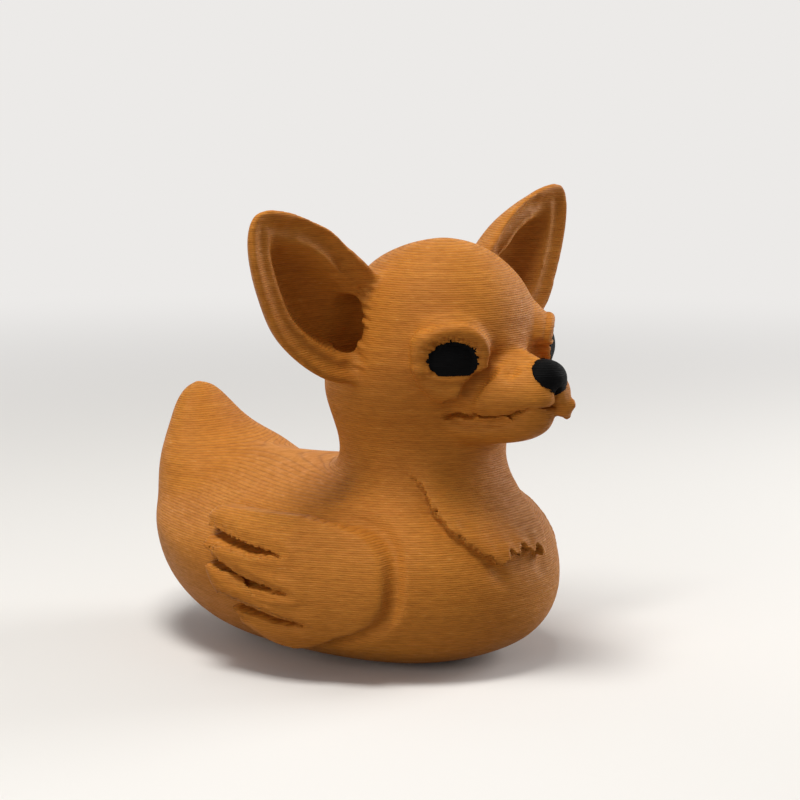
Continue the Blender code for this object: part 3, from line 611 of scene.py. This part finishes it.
def filament(name, base, deep, groove, fleck, roughness, shine, glow):
    """One colour of printed plastic: layers with painted groove shade, dashes, uneven sheen."""
    material = bpy.data.materials.new(name)
    material.use_nodes = True
    tree = material.node_tree
    shader = tree.nodes["Principled BSDF"]
    place = node(tree, "ShaderNodeTexCoord").outputs["Object"]
    height = node(tree, "ShaderNodeSeparateXYZ", {0: place}).outputs["Z"]
    # The layers lie level, and drift up and down by a part of a layer, as a print's do.
    wander = node(
        tree, "ShaderNodeTexNoise", {"Vector": place, "Scale": WANDER_PER_MM / MM, "Detail": 1.0}
    ).outputs["Fac"]
    drift = node(tree, "ShaderNodeMath", {0: wander, 1: LAYER_DRIFT}, operation="MULTIPLY").outputs[0]
    layers = node(
        tree, "ShaderNodeMath", {0: height, 1: 1 / (LAYER * MM), 2: drift}, operation="MULTIPLY_ADD"
    ).outputs[0]
    share = node(tree, "ShaderNodeMath", {0: layers}, operation="FRACT").outputs[0]
    index = node(tree, "ShaderNodeMath", {0: layers}, operation="FLOOR").outputs[0]
    # A bead's side is a half round: 1 at its middle, 0 in the grooves between beads.
    centred = node(
        tree, "ShaderNodeMath", {0: share, 1: 2.0, 2: -1.0}, operation="MULTIPLY_ADD"
    ).outputs[0]
    squared = node(tree, "ShaderNodeMath", {0: centred, 1: centred}, operation="MULTIPLY").outputs[0]
    bead = node(tree, "ShaderNodeMath", {0: 1.0, 1: squared}, operation="SUBTRACT").outputs[0]
    chance = node(
        tree, "ShaderNodeTexWhiteNoise", {"W": index}, noise_dimensions="1D"
    ).outputs["Value"]
    # Dashes run along the layers: about 1.6 mm long and one layer high.
    flat = node(
        tree, "ShaderNodeVectorMath", {0: place, 1: (1.0, 1.0, DASH_FLATNESS)}, operation="MULTIPLY"
    ).outputs[0]
    dash = node(
        tree, "ShaderNodeTexNoise",
        {"Vector": flat, "Scale": DASH_PER_MM / MM, "Detail": 2.0, "Roughness": 0.7},
    ).outputs["Fac"]
    blotch = node(
        tree, "ShaderNodeTexNoise", {"Vector": place, "Scale": BLOTCH_PER_MM / MM, "Detail": 2.0}
    ).outputs["Fac"]
    # Colour: a little deeper in blotches and by layer, painted shade in the grooves, darker in sparse
    # dashes.
    tone = node(
        tree, "ShaderNodeMath", {0: chance, 1: 0.25, 2: blotch}, operation="MULTIPLY_ADD"
    ).outputs[0]
    lift = node(
        tree, "ShaderNodeMapRange", {"Value": tone, "From Min": 0.35, "From Max": 0.9}
    ).outputs[0]
    body = node(
        tree, "ShaderNodeMix", {0: lift, 6: colour(deep), 7: colour(base)}, data_type="RGBA"
    ).outputs[2]
    # Painted shade: the grooves between beads are darker, as though shadowed.
    painted_groove_shade = node(
        tree, "ShaderNodeMapRange",
        {"Value": bead, "From Min": 0.0, "From Max": 0.7, "To Min": 0.36, "To Max": 0.0},
    ).outputs[0]
    dark = node(
        tree, "ShaderNodeMapRange",
        {"Value": dash, "From Min": 0.32, "From Max": 0.62, "To Min": 0.28, "To Max": 0.0},
    ).outputs[0]
    groove_shade_and_dash = node(
        tree, "ShaderNodeMath", {0: painted_groove_shade, 1: dark}, operation="ADD", use_clamp=True
    ).outputs[0]
    lined = node(
        tree, "ShaderNodeMix", {0: groove_shade_and_dash, 6: body, 7: colour(groove)}, data_type="RGBA"
    ).outputs[2]
    pale = node(
        tree, "ShaderNodeMapRange",
        {"Value": dash, "From Min": 0.66, "From Max": 0.8, "To Min": 0.0, "To Max": 0.4},
    ).outputs[0]
    skin = node(
        tree, "ShaderNodeMix", {0: pale, 6: lined, 7: colour(fleck)}, data_type="RGBA"
    ).outputs[2]
    tree.links.new(skin, shader.inputs["Base Color"])
    # Relief: beads stand out more on shallow slopes, where each layer is a step.
    normal = node(tree, "ShaderNodeNewGeometry").outputs["Normal"]
    tilt = node(tree, "ShaderNodeSeparateXYZ", {0: normal}).outputs["Z"]
    slope = node(tree, "ShaderNodeMath", {0: tilt}, operation="ABSOLUTE").outputs[0]
    depth = node(
        tree, "ShaderNodeMapRange",
        {"Value": slope, "From Min": 0.0, "From Max": 0.9, "To Min": WALL_RELIEF, "To Max": STEP_RELIEF},
    ).outputs[0]
    ridge = node(tree, "ShaderNodeMath", {0: bead, 1: depth}, operation="MULTIPLY").outputs[0]
    uneven = node(
        tree, "ShaderNodeMath", {0: chance, 1: UNEVEN_RELIEF, 2: ridge}, operation="MULTIPLY_ADD"
    ).outputs[0]
    relief = node(
        tree, "ShaderNodeMath", {0: dash, 1: DASH_RELIEF, 2: uneven}, operation="MULTIPLY_ADD"
    ).outputs[0]
    bump = node(
        tree, "ShaderNodeBump", {"Height": relief, "Distance": MM, "Strength": 0.8}
    ).outputs[0]
    tree.links.new(bump, shader.inputs["Normal"])
    # The dashes are smoother than the plastic between them.
    sheen = {"To Min": roughness + 0.1, "To Max": roughness - 0.06}
    gloss = node(
        tree, "ShaderNodeMapRange", {"Value": dash, "From Min": 0.3, "From Max": 0.7, **sheen}
    ).outputs[0]
    tree.links.new(gloss, shader.inputs["Roughness"])
    shader.inputs["IOR"].default_value = PLA_IOR
    shader.inputs["Specular IOR Level"].default_value = shine
    shader.inputs["Subsurface Weight"].default_value = glow
    shader.inputs["Subsurface Radius"].default_value = GLOW_RADII
    shader.inputs["Subsurface Scale"].default_value = MM
    return material


tan_filament = filament(
    "satin_tan_PLA", TAN, TAN_DEEP, TAN_GROOVE_SHADE_AND_DASH, TAN_FLECK, roughness=0.55, shine=0.16, glow=0.15
)
duck.data.materials.clear()
duck.data.materials.append(tan_filament)

# Eyes and nose tip
# The same print changes to black PLA here, nearly matt, so that it reads as a dark hole with faint
# layers. The black lies flush in the skin, and its edge steps from line to line, so each patch is
# cut from the skin itself and stands out by a hair.

BLACK = "#060607"
# Painted shade in the grooves between layers, and the colour of the sparse dark dashes.
BLACK_GROOVE_SHADE_AND_DASH = "#020202"
PATCH_STANDS = 0.07
PATCH_THICKNESS = 0.4
PATCH_CUTS = 2
EYE_RAGGED = 0.35
EYE_PATCH_REACH = 5.0
NOSE_CENTRE = (33.6, 0.0, 40.5)
NOSE_HALF = (3.0, 3.05, 2.45)
NOSE_RAGGED = 0.3
NOSE_PATCH_REACH = 4.5


def patch(name, centre, reach, chosen):
    """A thin piece cut from the skin near a centre, where the chosen places lie."""
    bm = bmesh.new()
    bm.from_mesh(duck.data)
    middle = Vector(centre) * MM
    far = [v for v in bm.verts if (v.co - middle).length > reach * MM]
    bmesh.ops.delete(bm, geom=far, context="VERTS")
    bmesh.ops.subdivide_edges(bm, edges=bm.edges[:], cuts=PATCH_CUTS, use_grid_fill=True)
    middles = np.array([f.calc_center_median() for f in bm.faces]) / MM
    keep = chosen(middles)
    bmesh.ops.delete(bm, geom=[f for f, kept in zip(bm.faces[:], keep) if not kept], context="FACES")
    obj = shown(name, bm)
    wall = obj.modifiers.new("wall", "SOLIDIFY")
    wall.thickness = PATCH_THICKNESS * MM
    wall.offset = 2 * PATCH_STANDS / PATCH_THICKNESS - 1
    applied(obj)
    obj.data.materials.clear()
    obj.data.materials.append(black_filament)
    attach(obj, "root")
    return obj


black_filament = filament(
    "satin_black_PLA", BLACK, BLACK, BLACK_GROOVE_SHADE_AND_DASH, BLACK, roughness=0.6, shine=0.05, glow=0.0
)
for side, name in ((-1, "eye_right"), (1, "eye_left")):

    def in_eye(spots, side=side):
        """Whether each place lies in the black of this side's eye."""
        inward, up, out = eye_plane(spots, side)
        return inside(inward + EYE_RAGGED * line_end(spots[:, 2], 5), up, EYE_OUTLINE) > 0

    x, y, z = beside_eye(0.0, 0.0)
    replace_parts(patch(name + "_print", (x, -side * y, z), EYE_PATCH_REACH, in_eye), name)


def in_nose(spots):
    """Whether each place lies in the black of the nose."""
    spots = spots + np.outer(NOSE_RAGGED * line_end(spots[:, 2], 9), (1, 0, 0))
    return (((spots - NOSE_CENTRE) / NOSE_HALF) ** 2).sum(1) < 1


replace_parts(patch("nose_print", NOSE_CENTRE, NOSE_PATCH_REACH, in_nose), "nose_tip")

# Thinned skin
# Once the patches are cut, the duck's skin keeps its fine points only where its folds need them.

SKIN_TRIANGLES = 190000
thinner = duck.modifiers.new("thinner", "DECIMATE")
thinner.ratio = SKIN_TRIANGLES / (2 * len(duck.data.polygons))
applied(duck)

# Floor, lamps and camera
# A matt pale sweep under soft light from above, with weaker lamps at the side and behind, seen from
# the height and side of the photograph.

FLOOR_HALF = 8000.0
SWEEP_FROM = 130.0
SWEEP_TO = 420.0
PALE = "#ECEAE8"
BOUNCE = "#8C847C"
BODY_MIDDLE = (4.0, 0.0, 30.0)


def lamp(name, place, size, power, tint):
    """A square soft lamp that points at the body's middle."""
    light = bpy.data.lights.new(name, "AREA")
    light.size = size * MM
    light.energy = power
    light.color = tint
    obj = bpy.data.objects.new(name, light)
    obj.location = Vector(place) * MM
    obj.rotation_euler = (Vector(place) - Vector(BODY_MIDDLE)).to_track_quat("Z", "Y").to_euler()
    bpy.context.scene.collection.objects.link(obj)


def seen_directly(tree):
    """A share of 1 for what the camera, a reflection or glass shows, and 0 for what gives light."""
    rays = node(tree, "ShaderNodeLightPath").outputs
    shiny = node(
        tree, "ShaderNodeMath", {0: rays["Is Glossy Ray"], 1: rays["Is Transmission Ray"]},
        operation="ADD",
    ).outputs[0]
    return node(
        tree, "ShaderNodeMath", {0: rays["Is Camera Ray"], 1: shiny}, operation="ADD", use_clamp=True
    ).outputs[0]


bm = bmesh.new()
bmesh.ops.create_grid(bm, x_segments=1, y_segments=1, size=FLOOR_HALF * MM)
floor = shown("floor", bm)
pale = bpy.data.materials.new("pale_floor")
pale.use_nodes = True
tree = pale.node_tree
matt = tree.nodes["Principled BSDF"]
matt.inputs["Roughness"].default_value = 0.9
# The floor looks pale, but the light that it throws back is that of a darker, warm grey one.
seen = seen_directly(tree)
tone = node(
    tree, "ShaderNodeMix", {0: seen, 6: colour(BOUNCE), 7: colour(PALE)}, data_type="RGBA"
).outputs[2]
tree.links.new(tone, matt.inputs["Base Color"])
# Far from the figure the floor turns into the same pale tone as the backdrop.
place = node(tree, "ShaderNodeTexCoord").outputs["Object"]
away = node(tree, "ShaderNodeVectorMath", {0: place}, operation="LENGTH").outputs["Value"]
far = node(
    tree, "ShaderNodeMapRange",
    {"Value": away, "From Min": SWEEP_FROM * MM, "From Max": SWEEP_TO * MM},
    interpolation_type="SMOOTHSTEP",
).outputs[0]
share = node(tree, "ShaderNodeMath", {0: far, 1: seen}, operation="MULTIPLY").outputs[0]
shine = node(tree, "ShaderNodeEmission", {"Color": colour(PALE), "Strength": 1.0}).outputs[0]
mixed = node(tree, "ShaderNodeMixShader", {0: share, 1: matt.outputs[0], 2: shine}).outputs[0]
tree.links.new(mixed, tree.nodes["Material Output"].inputs["Surface"])
floor.data.materials.append(pale)

lamp("overhead", (30, -100, 415), size=150, power=1.32, tint=(1.0, 0.98, 0.93))
lamp("side", (50, -380, 80), size=240, power=0.48, tint=(1.0, 0.98, 0.95))
lamp("back_left", (-340, 30, 170), size=200, power=0.12, tint=(1.0, 0.99, 0.97))
lamp("back_right", (130, 320, 150), size=200, power=0.72, tint=(1.0, 0.99, 0.97))

world = bpy.data.worlds.new("studio")
world.use_nodes = True
tree = world.node_tree
sky = tree.nodes["Background"]
sky.inputs["Color"].default_value = (0.95, 0.97, 1.0, 1.0)
sky.inputs["Strength"].default_value = 0.18
seen = node(tree, "ShaderNodeBackground", {"Color": colour(PALE), "Strength": 1.0}).outputs[0]
mixed = node(
    tree, "ShaderNodeMixShader", {0: seen_directly(tree), 1: sky.outputs[0], 2: seen}
).outputs[0]
tree.links.new(mixed, tree.nodes["World Output"].inputs["Surface"])
bpy.context.scene.world = world

AZIMUTH = math.radians(42)
ELEVATION = math.radians(9)
AIM = Vector((4.4, 4.0, 34.0))
DISTANCE = 380.0
back = Vector((
    math.sin(AZIMUTH) * math.cos(ELEVATION),
    -math.cos(AZIMUTH) * math.cos(ELEVATION),
    math.sin(ELEVATION),
))
lens = bpy.data.cameras.new("camera")
lens.sensor_width = 36.0
lens.lens = 123.1
lens.clip_start = 0.01
lens.clip_end = 2 * FLOOR_HALF * MM
camera = bpy.data.objects.new("camera", lens)
camera.location = (AIM + back * DISTANCE) * MM
camera.rotation_euler = back.to_track_quat("Z", "Y").to_euler()
bpy.context.scene.collection.objects.link(camera)
bpy.context.scene.camera = camera
bpy.context.scene.view_settings.view_transform = "Standard"
